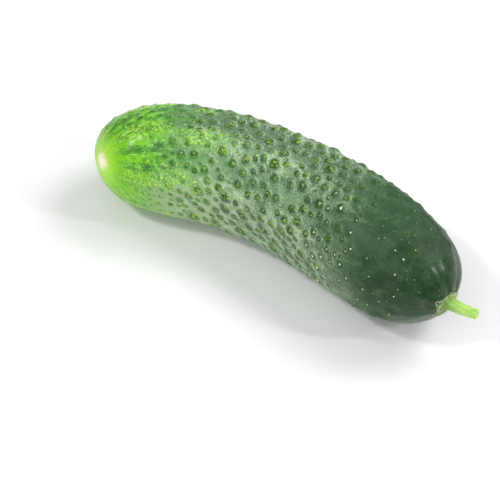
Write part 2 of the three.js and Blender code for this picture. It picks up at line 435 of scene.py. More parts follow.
def add_attribute(mesh, name, values, domain="POINT"):
    """Keeps a number or a vector for each point or face corner, for the material to read."""
    values = np.ascontiguousarray(values, np.float32)
    kind, key = ("FLOAT_VECTOR", "vector") if values.ndim == 2 else ("FLOAT", "value")
    mesh.attributes.new(name, kind, domain).data.foreach_set(key, values.ravel())


RING_SAMPLES = 4001
POLE = 1e-3  # how far the skin's two end points keep from the ends, as a station


def ring_stations():
    """Stations of the fine skin's rings, closer together where the warts are."""
    stations = np.linspace(0, math.pi, RING_SAMPLES)
    middle = (stations[1:] + stations[:-1]) / 2
    slant = np.linalg.norm(np.diff(bare_skin(stations, math.pi / 2), axis=0), axis=1)
    weight = slant * (1 - RING_THINNING * smooth(-np.cos(middle), 0.5, 0.75))
    total = np.concatenate([[0], np.cumsum(weight)])
    return np.interp(np.linspace(0, total[-1], RING_STEPS + 2)[1:-1], total, stations)


def skin_grid():
    """The station and angle of each point of the fine skin: ring by ring, then one at each end."""
    angles = TAU * np.arange(AROUND_STEPS) / AROUND_STEPS
    station, around = np.meshgrid(ring_stations(), angles, indexing="ij")
    station = np.concatenate([station.ravel(), [POLE, math.pi - POLE]])
    return station, np.concatenate([around.ravel(), [0, 0]])


def add_spots(mesh, bare):
    """Keeps at each face corner how far ahead and aside of the nearest wart it lies, in foot radii.

    The wart's random share comes third. One wart serves a whole face, so that nothing jumps within it.
    """
    corners = np.zeros(len(mesh.loops), int)
    mesh.loops.foreach_get("vertex_index", corners)
    sides = np.zeros(len(mesh.polygons), int)
    mesh.polygons.foreach_get("loop_total", sides)
    owner = np.repeat(np.arange(len(sides)), sides)
    centres = np.zeros((len(sides), 3))
    np.add.at(centres, owner, bare[corners])
    nearest = nearest_wart(centres / sides[:, None])[owner]
    offset = (bare[corners] - WART_MIDDLES[nearest]) / WART_FOOT[nearest][:, None]
    ahead = (offset * WART_AHEAD[nearest]).sum(-1)
    aside = (offset * WART_ASIDE[nearest]).sum(-1)
    add_attribute(mesh, "spot", np.stack([ahead, aside, WART_SHARE[nearest]], -1), "CORNER")


def make_skin():
    station, around = skin_grid()
    place = -np.cos(station)
    bare = bare_skin(station, around)
    _, _, out = directions(station, around)
    body = 1 - smooth(np.abs(place), 0.3, 0.8)
    ridge = rib_crest(place, around)
    warts, crease, pillow = creases(bare, around, ridge)
    scar = np.linalg.norm(bare - bare_skin(SCAR_STATION, SCAR_AROUND), axis=1)
    height = relief(station, around) + warts + FOLD_HEIGHT * crease + LUMP_HEIGHT * body * lumps(bare)
    height += furrows(place, around)
    height += scar_height(scar)
    points = bare + out * height[:, None]
    points[:, 2] = np.maximum(points[:, 2], 0)
    piece = closed_piece("fruit_skin", points, RING_STEPS, AROUND_STEPS)

    fan = fanned(place, around)
    stripe = np.cos(STRIPE_COUNT * (fan - STRIPE_ANGLE - STRIPE_WANDER * np.sin(7 * place)))
    fields = {
        "grain": np.stack([np.cos(fan), np.sin(fan), place], -1) * [MID_RADIUS, MID_RADIUS, LENGTH / 2],
        "place": place,
        "rib": ridge,
        "crest": ridge ** 3 * body,
        "crease": crease,
        "pillow": pillow,
        "inner": inner_share(around),
        "stripe": (1 + stripe) / 2,
        "ripe": (1 + np.cos(around - RIPE_ANGLE)) / 2,
        "scar": scar,
        "stalk": np.linalg.norm(bare - STEM_ROOT, axis=1),
    }
    for name, values in fields.items():
        add_attribute(piece.data, name, values)
    add_spots(piece.data, bare)
    return piece


# The stem leaves the fruit beside the end of the centreline and bends a little.
def heading_vector(heading, rise):
    return np.array([math.cos(rise) * math.cos(heading), math.cos(rise) * math.sin(heading), math.sin(rise)])


STEM_ROOT = bare_skin(math.pi - STEM_OFFSET / END_RADIUS, 0.0)
STEM_OUT = heading_vector(*STEM_START)
STEM_FOOT = STEM_ROOT + STEM_OUT * (JOINT_GAP - SEAT_DEPTH)
STEM_ELBOW = STEM_FOOT + STEM_OUT * STEM_LENGTH / 2
STEM_TIP = STEM_ELBOW + heading_vector(*STEM_END) * STEM_LENGTH / 2


def stem_frame(reach):
    """Middle of the stem and its unit directions above, aside and ahead, at shares of its length."""
    reach = np.asarray(reach, float)[..., None]
    middle = (1 - reach) ** 2 * STEM_FOOT + 2 * reach * (1 - reach) * STEM_ELBOW + reach ** 2 * STEM_TIP
    ahead = unit((1 - reach) * (STEM_ELBOW - STEM_FOOT) + reach * (STEM_TIP - STEM_ELBOW))
    aside = unit(np.cross([0, 0, 1], ahead))
    return middle, np.cross(ahead, aside), aside, ahead


def stem_radius(reach, angle):
    """The radius of the angled stem, with fine ridges that wander along it."""
    edge = 1 + STEM_ANGLE_DEPTH * np.cos(STEM_ANGLES * angle)
    coarse = COARSE_FIBRE_DEPTH * np.cos(COARSE_FIBRES * angle + 3 * np.sin(3 * reach))
    fine = FINE_FIBRE_DEPTH * np.cos(FINE_FIBRES * angle + 5 * reach)
    taper = between((STEM_FOOT_RADIUS, STEM_TIP_RADIUS), reach)
    return edge * (1 + coarse + fine) * (taper + STEM_SWELL * np.exp(-8 * reach))


def make_stem():
    reach = np.concatenate([np.linspace(STEM_SINK, 1, STEM_RINGS), np.ones(len(CUT_INSETS))])
    inset = np.concatenate([np.zeros(STEM_RINGS), CUT_INSETS])
    sink = np.concatenate([np.zeros(STEM_RINGS), CUT_SINKS])
    reach, angle = np.meshgrid(reach, TAU * np.arange(STEM_SIDES) / STEM_SIDES, indexing="ij")
    radius = stem_radius(reach, angle) * (1 - inset[:, None])
    middle, above, aside, ahead = stem_frame(reach)
    up, across = (radius * np.sin(angle))[..., None], (radius * np.cos(angle))[..., None]
    points = middle + above * up + aside * across - ahead * sink[:, None, None]
    foot, _, _, _ = stem_frame(STEM_SINK)
    tip, _, _, tip_ahead = stem_frame(1.0)
    points = np.vstack([points.reshape(-1, 3), foot, tip - tip_ahead * CUT_MIDDLE_SINK])
    piece = closed_piece("stem_skin", points, len(inset), STEM_SIDES)

    grain = np.stack([np.cos(angle), np.sin(angle), reach], -1).reshape(-1, 3)
    grain = grain * [STEM_GRAIN_RADIUS, STEM_GRAIN_RADIUS, STEM_LENGTH]
    add_attribute(piece.data, "grain", np.vstack([grain, [0, 0, 0], [0, 0, STEM_LENGTH]]))
    add_attribute(piece.data, "cut", np.concatenate([np.repeat(inset, STEM_SIDES), [0, 1]]))
    return piece


CONE_SINK = 0.25  # share of its length that a cone is sunk
CONE_RINGS = [(-CONE_SINK, 1.0), (0.35, 0.8), (0.8, 0.4)]  # height and width of each, as shares


def cones(name, rows, sides):
    """Small blunt cones in one mesh. Each row is a root, a direction, a length and a radius."""
    roots, outs, lengths, radii = [np.array(column) for column in zip(*rows)]
    outs, lengths, radii = unit(outs), lengths[:, None], radii[:, None]
    helper = np.where(np.abs(outs[:, 2:]) < 0.9, [[0, 0, 1.0]], [[1.0, 0, 0]])
    across = unit(np.cross(outs, helper))
    beside = np.cross(outs, across)
    corners = []
    for level, width in CONE_RINGS:
        for angle in TAU * np.arange(sides) / sides:
            aside = across * math.cos(angle) + beside * math.sin(angle)
            corners.append(roots + outs * lengths * level + radii * width * aside)
    corners += [roots - outs * lengths * CONE_SINK, roots + outs * lengths]
    count = len(corners)
    points = np.stack(corners, 1).reshape(-1, 3)
    shape = grid_faces(len(CONE_RINGS), sides, count - 2, count - 1)
    faces = [tuple(start + corner for corner in face)
             for start in range(0, len(points), count) for face in shape]
    return mesh_object(name, points, faces)


# ---------------- materials

def srgb(red, green, blue):
    """A linear colour from a colour picker's 0 to 255 values."""
    shares = [value / 255 for value in (red, green, blue)]
    return (*[s / 12.92 if s <= 0.04045 else ((s + 0.055) / 1.055) ** 2.4 for s in shares], 1.0)


class Shader:
    """A material's node tree, with a short call for each kind of node that is used here."""

    def __init__(self, name):
        self.material = bpy.data.materials.new(name)
        self.material.use_nodes = True
        self.tree = self.material.node_tree
        self.surface = self.tree.nodes["Principled BSDF"]

    def put(self, value, socket):
        if isinstance(value, bpy.types.NodeSocket):
            self.tree.links.new(value, socket)
        else:
            socket.default_value = value

    def node(self, kind, inputs, **settings):
        node = self.tree.nodes.new(kind)
        for key, value in settings.items():
            setattr(node, key, value)
        for key, value in inputs.items():
            self.put(value, node.inputs[key])
        return node

    def set(self, **sockets):
        for key, value in sockets.items():
            self.put(value, self.surface.inputs[key.replace("_", " ")])

    def attribute(self, name, output="Fac"):
        return self.node("ShaderNodeAttribute", {}, attribute_name=name).outputs[output]

    def position(self):
        """Where the point lies, in millimetres."""
        place = self.node("ShaderNodeTexCoord", {}).outputs["Object"]
        return self.stretch(place, (1 / MM, 1 / MM, 1 / MM))

    def stretch(self, vector, scale):
        return self.node("ShaderNodeVectorMath", {0: vector, 1: scale}, operation="MULTIPLY").outputs[0]

    def drawn_out(self, grain, share):
        """The grain, squeezed lengthwise, so that the lumps of a noise on it are drawn out along it."""
        return self.stretch(grain, (1, 1, share))

    def add(self, vector, other):
        return self.node("ShaderNodeVectorMath", {0: vector, 1: other}, operation="ADD").outputs[0]

    def flat_length(self, vector):
        """The length of a vector's first two parts."""
        flat = self.stretch(vector, (1, 1, 0))
        return self.node("ShaderNodeVectorMath", {0: flat}, operation="LENGTH").outputs["Value"]

    def shaken(self, vector, size, reach):
        """The place, moved about by noise of a given size, by up to half of reach each way."""
        inputs = {"Vector": vector, "Scale": 1 / size, "Detail": 1.0}
        away = self.add(self.node("ShaderNodeTexNoise", inputs).outputs["Color"], (-0.5, -0.5, -0.5))
        return self.add(vector, self.stretch(away, (reach, reach, reach)))

    def alone(self, operation, value):
        return self.node("ShaderNodeMath", {0: value}, operation=operation).outputs[0]

    def math(self, operation, first, *others):
        """The first value with each other one taken in by the operation, in turn."""
        for other in others:
            first = self.node("ShaderNodeMath", {0: first, 1: other}, operation=operation).outputs[0]
        return first

    def times(self, *values):
        return self.math("MULTIPLY", *values)

    def plus(self, *values):
        return self.math("ADD", *values)

    def largest(self, *values):
        return self.math("MAXIMUM", *values)

    def rise(self, value, low, high, start=0.0, end=1.0):
        """Goes smoothly from start to end as the value goes from low to high."""
        inputs = {"Value": value, "From Min": low, "From Max": high, "To Min": start, "To Max": end}
        return self.node("ShaderNodeMapRange", inputs, interpolation_type="SMOOTHSTEP").outputs["Result"]

    def fall(self, value, low, high):
        """1 up to low, and 0 from high on."""
        return self.rise(value, low, high, 1.0, 0.0)

    def band(self, value, middle, width):
        """1 at the middle of a band of values, and 0 at its two edges."""
        return self.fall(self.alone("ABSOLUTE", self.math("SUBTRACT", value, middle)), 0.0, width)

    def nudged(self, value, noise, reach):
        """The value, moved up or down by noise, by up to reach."""
        return self.plus(value, self.rise(noise, 0.3, 0.7, -reach, reach))

    def noise(self, vector, size, detail=3.0, roughness=0.55):
        """Noise from 0 to 1 whose lumps have the given size, in the vector's own units."""
        inputs = {"Vector": vector, "Scale": 1 / size, "Detail": detail, "Roughness": roughness}
        return self.node("ShaderNodeTexNoise", inputs).outputs["Fac"]

    def cells(self, vector, size):
        """Distance to the nearest cell's middle, in cell sizes, and the cell's three random shares."""
        node = self.node("ShaderNodeTexVoronoi", {"Vector": vector, "Scale": 1 / size})
        shares = self.node("ShaderNodeSeparateColor", {0: node.outputs["Color"]}).outputs
        return node.outputs["Distance"], shares["Red"], shares["Green"], shares["Blue"]

    def mix(self, share, first, second):
        node = self.node("ShaderNodeMix", {"Factor": share}, data_type="RGBA")
        self.put(first, node.inputs[6])  # the sockets for colours, which share their names with others
        self.put(second, node.inputs[7])
        return node.outputs[2]

    def paint(self, colour, tone, *shares):
        """The colour with a tone laid over it, as strongly as the product of all the shares."""
        return self.mix(self.times(*shares), colour, tone)

    def ramp(self, value, stops):
        node = self.node("ShaderNodeValToRGB", {"Fac": value})
        elements = node.color_ramp.elements
        while len(elements) < len(stops):
            elements.new(1.0)
        for element, (position, colour) in zip(elements, stops):
            element.position = position
            element.color = colour
        return node.outputs["Color"]

    def bump(self, *layers):
        """Bumps the normals by layers: each a height from 0 to 1 and the depth it stands for, in mm."""
        normal = None
        for height, depth in layers:
            inputs = {"Height": height, "Distance": depth * MM, "Strength": 1.0}
            if normal:
                inputs["Normal"] = normal
            normal = self.node("ShaderNodeBump", inputs).outputs["Normal"]
        self.set(Normal=normal)


# The skin's colour from the blossom end to the stem end, by share of the length.
SKIN_STOPS = [
    (0.00, srgb(170, 226, 80)),
    (0.07, srgb(138, 214, 62)),
    (0.16, srgb(120, 198, 66)),
    (0.28, srgb(92, 160, 76)),
    (0.42, srgb(70, 126, 68)),
    (0.58, srgb(50, 92, 53)),
    (0.78, srgb(34, 72, 38)),
    (0.90, srgb(20, 56, 24)),
    (1.00, srgb(18, 52, 22)),
]

# Ground and blossom end.
DEEP = srgb(24, 58, 26)
LIGHT_PATCH = srgb(76, 112, 74)
# Painted shade for the outer shoulder at the stem end.
SHOULDER_SHADE = srgb(12, 40, 16)
LEAF = srgb(52, 122, 36)
SMUDGE = srgb(44, 108, 44)
FRESH = srgb(124, 204, 34)
GLOW = srgb(162, 230, 52)

# Wax and dust, and painted light and shade: shade on the outer side, light from the floor in the inner wax, a
# shadow along the lowest rim, and highlight and sheen lines.
WAX = srgb(126, 161, 121)
OUTER_SHADE = srgb(71, 98, 70)
INNER_WAX_AND_FLOOR_LIGHT = srgb(124, 150, 118)
PALE_WAX_AND_FLOOR_LIGHT = srgb(184, 205, 158)
PALE_GREY_WAX_AND_FLOOR_LIGHT = srgb(176, 194, 160)
RIM_SHADOW = srgb(104, 110, 95)
PAINTED_HIGHLIGHT = srgb(182, 204, 168)
WAX_AND_SHEEN_WEB = srgb(188, 210, 172)
RIB_HIGHLIGHT = srgb(192, 214, 160)
DUST = srgb(196, 216, 184)
BARE_DUST = srgb(66, 106, 62)

# Warts and flecks, and painted shade for the skin's pillows.
PILLOW_SHADE = srgb(92, 124, 92)
CAP = srgb(40, 77, 29)
BLOSSOM_CAP = srgb(34, 100, 40)
TINT = srgb(136, 180, 52)
FLECK = srgb(176, 228, 92)
PALE_FLECK = srgb(218, 240, 146)
LATE_FLECK = srgb(120, 156, 100)
FLECK_GROUND = srgb(112, 182, 54)
TIP = srgb(206, 216, 160)
LATE_TIP = srgb(236, 244, 226)
SCAB = srgb(238, 214, 140)

# Scar and collar.
SCAR = srgb(255, 248, 206)
CREAM = srgb(255, 250, 224)
SCAR_FRINGE = srgb(190, 226, 96)
RING = srgb(130, 176, 70)
PALE_RING = srgb(222, 240, 160)
SHEEN = srgb(226, 240, 226)

# Stem, spines, bristles and floor.
FIBRE = srgb(140, 200, 66)
PALE_FIBRE = srgb(200, 240, 124)
STEM_BLOTCH = srgb(206, 236, 140)
STEM_FOOT_TONE = srgb(104, 152, 56)
CUT_EDGE = srgb(196, 226, 120)
CUT_MIDDLE = srgb(150, 196, 84)
SPINE = srgb(206, 220, 170)
PALE_SPINE = srgb(240, 244, 222)
BRISTLE = srgb(190, 216, 140)
PALE_BRISTLE = srgb(244, 250, 224)
FLOOR = srgb(250, 250, 250)
FLOOR_SHADE = srgb(246, 246, 247)

CAP_SHADE_SHIFT = (0.14, -0.14, 0)  # from the dark cap's middle to its wart's, ahead and aside in foot radii; it moves the cap's dark towards the side away from the light, as painted shade
SECOND_SHARE = 7.3  # makes a wart's second random share from its first
FLECK_SIZE = 0.55


class SkinFields:
    """What the layers of the skin's colour share.

    along goes from 0 at the blossom end to 1 at the stem end, and inner is the inner share.
    """

    def __init__(self, skin):
        self.here = skin.position()
        self.grain = skin.attribute("grain", "Vector")
        ends = {"Value": skin.attribute("place"), "From Min": -1.0, "From Max": 1.0}
        self.along = skin.node("ShaderNodeMapRange", ends).outputs["Result"]
        for name in ("rib", "crest", "crease", "pillow", "inner", "stripe", "ripe", "scar", "stalk"):
            setattr(self, name, skin.attribute(name))
        self.ragged = skin.noise(self.here, size=0.6)
        self.mottle = skin.noise(self.here, size=0.9, detail=5.0, roughness=0.65)
        self.patch = skin.noise(self.here, size=3.5, detail=4.0, roughness=0.6)
        self.streak = skin.noise(skin.drawn_out(self.grain, 0.09), size=1.9, detail=4.0)

        # The nearest wart: two random shares, and how far off it and its cap the point lies, in foot radii.
        # The last value below is greatest on the wart's side towards the stem, which is painted as its lit
        # side.
        spot = skin.attribute("spot", "Vector")
        axes = skin.node("ShaderNodeSeparateXYZ", {0: spot}).outputs
        self.share = axes["Z"]
        self.strength = skin.alone("FRACT", skin.times(self.share, SECOND_SHARE))
        self.reach = skin.flat_length(spot)
        self.edge = skin.nudged(self.reach, self.ragged, 0.12)
        # The dark cap is the wart's own colour, but its middle is moved towards the side away from the light,
        # as painted shade.
        self.cap = skin.nudged(skin.flat_length(skin.add(spot, CAP_SHADE_SHIFT)), self.ragged, 0.16)
        self.lit_side = skin.math("SUBTRACT", axes["X"], axes["Y"])

        # Stretches of the fruit. On the inner side, the waxy middle starts sooner and ends later.
        self.blossom = skin.fall(self.along, 0.06, 0.36)
        self.speckled = skin.times(skin.rise(self.along, 0.03, 0.11), skin.fall(self.along, 0.27, 0.4))
        waxy = skin.plus(self.along, skin.rise(self.inner, 0.75, 0.95, 0.0, 0.07))
        warty = skin.plus(self.along, skin.rise(self.inner, 0.0, 1.0, 0.03, -0.06),
                          skin.rise(self.inner, 0.93, 1.0, 0.0, -0.05))
        self.middle = skin.times(skin.rise(waxy, 0.12, 0.34), skin.rise(warty, 0.5, 0.8, 1.0, 0.05))
        self.between = skin.times(skin.rise(self.edge, 0.6, 1.25), self.middle)  # the middle, off the caps


# Each layer yields its coats, from the lowest one up: a tone, and shares whose product says how thick it is.
def ground_layer(skin, at):
    """Lengthwise streaks, broad light patches, painted shade on the outer shoulder at the stem end, and fine
    mottling.
    """
    yield DEEP, skin.fall(at.streak, 0.34, 0.5), skin.rise(at.blossom, 0.0, 1.0, 0.35, 0.15)
    yield LIGHT_PATCH, skin.rise(at.patch, 0.42, 0.7), skin.rise(at.along, 0.6, 0.8), 0.3
    # Painted shade on the outer shoulder at the stem end, where the key lamp falls.
    yield SHOULDER_SHADE, skin.rise(at.inner, 0.1, 0.36, 0.6, 0.0), skin.rise(at.along, 0.84, 0.93)
    yield DEEP, skin.fall(at.mottle, 0.3, 0.5), 0.3


def blossom_layer(skin, at):
    """Leaf green mottling at the blossom end, fresh stripes from the scar, and a glow beside it."""
    fine = skin.noise(skin.drawn_out(at.grain, 0.5), size=1.5, roughness=0.65)
    shaded = skin.plus(at.scar, skin.rise(at.ripe, 0.4, 0.9, 7.0, 0.0))
    leafy = skin.times(skin.rise(fine, 0.43, 0.53), skin.rise(shaded, 4.0, 13.0))
    leafy_end = skin.largest(at.blossom, at.speckled)
    yield LEAF, leafy, leafy_end, skin.rise(at.inner, 0.75, 0.95, 1.0, 0.45), 0.85
    yield SMUDGE, skin.rise(at.patch, 0.54, 0.64), at.speckled, skin.rise(shaded, 8.0, 18.0), 0.55
    stripe = skin.rise(skin.nudged(at.stripe, at.streak, 0.4), 0.35, 0.9)
    yield FRESH, stripe, at.blossom, skin.rise(at.ripe, 0.75, 0.97, 0.2, 1.0), 0.9
    yield GLOW, skin.fall(at.scar, 3.0, 10.0), skin.rise(at.inner, 0.3, 0.75, 0.25, 1.0)


def wax_layer(skin, at):
    """Pale bloom over the middle, under painted shade on the outer side of the bend; thick and patchy on the
    inner side, where it is also painted light from the floor; and a painted shadow along the lowest rim.
    """
    thick = skin.rise(skin.noise(at.here, size=4.2, detail=5.0, roughness=0.62), 0.36, 0.62, 0.25, 1.0)
    yield WAX, thick, at.between, 0.8
    # Painted shade on the outer side of the bend.
    yield OUTER_SHADE, skin.fall(at.inner, 0.25, 0.6), at.middle, 0.85
    # The inner side's pale patchy tone is partly bloom and partly painted light from the floor.
    patches = skin.noise(skin.drawn_out(at.grain, 0.7), size=4.0, detail=4.0)
    patches = skin.rise(skin.plus(patches, skin.rise(at.along, 0.3, 0.55, 0.14, -0.03)), 0.42, 0.58)
    pale = skin.mix(skin.rise(at.along, 0.3, 0.5), PALE_WAX_AND_FLOOR_LIGHT, PALE_GREY_WAX_AND_FLOOR_LIGHT)
    yield skin.mix(patches, INNER_WAX_AND_FLOOR_LIGHT, pale), skin.rise(at.inner, 0.74, 0.96), at.between, 0.75
    # Painted shadow along the lowest rim, towards the stem end.
    yield RIM_SHADOW, skin.rise(at.inner, 0.97, 0.995), skin.rise(at.along, 0.55, 0.7), at.middle, 0.8


def line_layer(skin, at):
    """Painted highlights on the ridges, a net of fine pale lines that is partly wax and partly painted sheen,
    painted highlight lines along the ribs, and light and dark dust.
    """
    # Painted highlight along the rib crests.
    yield PAINTED_HIGHLIGHT, skin.rise(at.crest, 0.35, 1.0), skin.rise(at.patch, 0.4, 0.6), at.between, 0.35
    # A net of thin pale lines near the ribs, partly wax and partly painted sheen.
    wax_and_sheen_web = skin.band(skin.noise(skin.drawn_out(at.grain, 0.6), size=5.0, detail=4.0), 0.5, 0.035)
    yield WAX_AND_SHEEN_WEB, wax_and_sheen_web, skin.rise(at.rib, 0.3, 0.8, 0.2, 1.0), at.between, 0.65
    # Painted highlight: a wavering pale line along each rib's flank.
    rib_highlight = skin.band(skin.nudged(at.rib, skin.noise(at.here, size=4.5), 0.5), 0.6, 0.08)
    yield RIB_HIGHLIGHT, rib_highlight, skin.rise(at.patch, 0.42, 0.56), at.between, 0.8
    dust = skin.noise(at.here, size=0.34, detail=2.0)
    yield DUST, skin.rise(dust, 0.5, 0.64), at.middle, 0.42
    yield BARE_DUST, skin.fall(dust, 0.35, 0.47), at.middle, 0.42


def wart_layer(skin, at):
    """Painted shade on the skin's pillows, and dark caps, some stronger than others, and a yellow-green tint
    on the caps.
    """
    # Painted shade on the skin's pillows, away from the lit side.
    pillow = skin.times(skin.rise(at.pillow, 0.1, 0.9), skin.rise(at.strength, 0.15, 0.6, 0.35, 0.9))
    yield PILLOW_SHADE, pillow, skin.rise(at.along, 0.24, 0.4, 0.6, 1.0), at.middle
    cap = skin.times(skin.fall(at.cap, 0.35, 1.12), skin.rise(at.strength, 0.1, 0.9, 0.45, 0.95))
    strong = skin.times(skin.rise(at.along, 0.08, 0.26, 0.7, 1.0), skin.rise(at.scar, 7.0, 20.0, 0.1, 1.0))
    yield skin.mix(at.blossom, CAP, BLOSSOM_CAP), cap, strong, skin.rise(at.inner, 0.8, 0.95, 1.0, 0.88)
    tint = skin.rise(skin.noise(at.here, size=0.8, detail=2.0), 0.5, 0.6)
    yield TINT, tint, skin.fall(at.edge, 0.5, 0.9), skin.rise(at.strength, 0.2, 0.7, 0.3, 0.95), at.middle


def crease_layer(skin, at):
    """Painted highlights: a pale line on each wart's side towards the stem, painted as its lit side, and
    broken pale lines along the creases.
    """
    # Painted highlight on each wart's lit side.
    yield PAINTED_HIGHLIGHT, skin.band(at.reach, 0.85, 0.4), skin.rise(at.lit_side, 0.2, 1.1), at.middle, 0.5
    broken = skin.rise(skin.noise(at.here, size=2.4), 0.4, 0.56, 0.1, 1.0)
    # Painted highlight along the creases.
    yield PAINTED_HIGHLIGHT, skin.rise(at.crease, 0.3, 0.75), broken, at.middle, 0.85


def fleck_layer(skin, at):
    """Small yellow-green flecks and lace, crowded between the blossom end and the waxy middle."""
    dense = skin.rise(skin.noise(skin.drawn_out(at.grain, 0.35), size=4.5), 0.42, 0.58)
    dense = skin.times(dense, skin.rise(at.rib, 0.3, 0.85, 0.12, 1.0), at.speckled)
    yield FLECK_GROUND, dense, 0.3
    lace = skin.noise(skin.shaken(at.here, size=0.6, reach=0.6), size=0.75, detail=2.0)
    yield FLECK, skin.rise(lace, 0.5, 0.6), dense, 0.8

    gap, chance, pallor, strength = skin.cells(skin.shaken(at.here, size=0.5, reach=0.7), FLECK_SIZE)
    many = skin.largest(skin.times(dense, 0.45), skin.times(at.crest, at.middle, 0.16),
                        skin.rise(at.along, 0.1, 0.36, 0.12, 0.0), skin.rise(at.along, 0.6, 0.9, 0.012, 0.02))
    size = skin.math("SUBTRACT", gap, skin.times(strength, 0.3))
    fleck = skin.times(skin.math("LESS_THAN", chance, many), skin.fall(size, 0.05, 0.32))
    tone = skin.mix(skin.rise(at.along, 0.45, 0.6), skin.mix(pallor, FLECK, PALE_FLECK), LATE_FLECK)
    yield tone, fleck, skin.rise(strength, 0.0, 1.0, 0.55, 1.0)


def tip_layer(skin, at):
    """A spine's pale root on most warts, whiter towards the stem, and scabs on a few."""
    late = skin.times(skin.rise(at.along, 0.58, 0.7), skin.rise(at.inner, 0.35, 0.6))
    size = skin.math("SUBTRACT", at.reach, skin.times(late, 0.14))
    tip = skin.times(skin.fall(size, 0.06, 0.2), skin.fall(at.share, 0.55, 0.75))
    strength = skin.largest(late, skin.rise(at.along, 0.1, 0.3, 0.35, 0.6))
    yield skin.mix(late, TIP, LATE_TIP), tip, strength
    gap, chance, _, _ = skin.cells(at.here, FLECK_SIZE)
    scab = skin.times(skin.math("LESS_THAN", chance, 0.6), skin.fall(gap, 0.2, 0.45))
    scab = skin.times(scab, skin.rise(at.share, 0.76, 0.8), skin.fall(at.reach, 0.3, 0.5))
    yield SCAB, scab, at.middle, 0.8


def end_layer(skin, at):
    """The blossom scar with its frayed edge, and the bristly ring of skin round the stem."""
    threads = skin.noise(skin.drawn_out(at.grain, 0.15), size=0.8)
    frayed = skin.nudged(at.scar, threads, 1.2)
    yield SCAR_FRINGE, skin.fall(frayed, 2.0, 5.5), 0.8
    yield skin.mix(at.mottle, SCAR, CREAM), skin.fall(frayed, 1.5, 3.0)
    ring = skin.nudged(at.stalk, at.mottle, 1.4)
    yield skin.mix(at.ragged, RING, PALE_RING), skin.fall(ring, 2.0, 3.8), 0.9


SKIN_LAYERS = [ground_layer, blossom_layer, wax_layer, line_layer, wart_layer, crease_layer, fleck_layer,
               tip_layer, end_layer]


def skin_roughness(skin, at):
    """Glossiest at the two ends, and dull where wax lies between the warts."""
    base = skin.rise(at.mottle, 0.3, 0.7, 0.38, 0.48)
    blossom_end = skin.rise(at.along, 0.12, 0.25, -0.2, 0.0)
    stem_end = skin.plus(skin.rise(at.along, 0.5, 0.7, 0.0, 0.1), skin.rise(at.along, 0.91, 0.95, 0.0, -0.3))
    waxed = skin.times(at.middle, skin.rise(at.edge, 0.75, 1.15), 0.14)
    return skin.plus(base, blossom_end, stem_end, waxed)


def skin_colour(skin, at):
    """Green from end to end, in broad patches, under all the layers."""
    broad = skin.noise(at.here, size=11.0, detail=2.0)
    colour = skin.ramp(skin.nudged(at.along, broad, 0.05), SKIN_STOPS)
    for layer in SKIN_LAYERS:
        for tone, *shares in layer(skin, at):
            colour = skin.paint(colour, tone, *shares)
    return colour


def skin_material():
    skin = Shader("cucumber_skin")
    at = SkinFields(skin)
    skin.set(Base_Color=skin_colour(skin, at), Roughness=skin_roughness(skin, at), IOR=1.4,
             Specular_IOR_Level=0.32, Sheen_Weight=0.03, Sheen_Roughness=0.4, Sheen_Tint=SHEEN)
    rough = skin.rise(at.middle, 0.0, 0.6, 0.25, 1.0)
    fine = skin.noise(at.here, size=0.25)
    skin.bump((skin.times(at.mottle, rough), 0.06), (skin.times(fine, rough), 0.03), (at.streak, 0.05))
    return skin.material


def stem_material():
    stem = Shader("stem_skin")
    grain = stem.attribute("grain", "Vector")
    cut = stem.attribute("cut")
    fibre = stem.noise(stem.drawn_out(grain, 0.06), size=0.32)
    blotch = stem.noise(stem.position(), size=1.2)
    length = stem.node("ShaderNodeSeparateXYZ", {0: grain}).outputs["Z"]
    colour = stem.mix(stem.rise(fibre, 0.35, 0.62), FIBRE, PALE_FIBRE)
    colour = stem.paint(colour, STEM_BLOTCH, stem.rise(blotch, 0.52, 0.7), 0.4)
    colour = stem.paint(colour, STEM_FOOT_TONE, stem.fall(length, 0.3, 5.5), 0.75)
    face = stem.mix(stem.rise(cut, 0.3, 0.7), CUT_EDGE, CUT_MIDDLE)
    colour = stem.paint(colour, face, stem.rise(cut, 0.02, 0.1))
    stem.set(Base_Color=colour, Roughness=0.46, Sheen_Weight=0.2, Sheen_Roughness=0.5, Subsurface_Weight=0.25,
             Subsurface_Radius=(0.6 * MM, 1.2 * MM, 0.3 * MM), Subsurface_Scale=1.0)
    stem.bump((fibre, 0.08), (blotch, 0.05))
    return stem.material


def bristle_material(name, colour, pale_colour):
    bristle = Shader(name)
    tone = bristle.noise(bristle.position(), size=0.4, detail=2.0)
    bristle.set(Base_Color=bristle.mix(bristle.rise(tone, 0.35, 0.65), colour, pale_colour),
                Roughness=bristle.rise(tone, 0.3, 0.7, 0.35, 0.5))
    return bristle.material


def floor_material():
    floor = Shader("pale_floor")
    tone = floor.noise(floor.position(), size=60.0, detail=2.0)
    floor.set(Base_Color=floor.mix(tone, FLOOR, FLOOR_SHADE), Roughness=0.9, Specular_IOR_Level=0.1)
    return floor.material


# ---------------- pieces

def dress(piece, material, node=None):
    """Gives a piece its material, slot and body, and hides the CAD node that it stands for."""
    piece.data.materials.append(material)
    if node:
        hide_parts(node)
    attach(piece, "root")


SPINE_SEED = 5
SPINE_SHARE = 0.5  # of all warts and pimples
SPINE_CLEARANCE = 2.0  # from the ground
SPINE_TILT = 0.25
SPINE_LENGTHS = (0.12, 0.34)
SPINE_RADII = (0.07, 0.13)

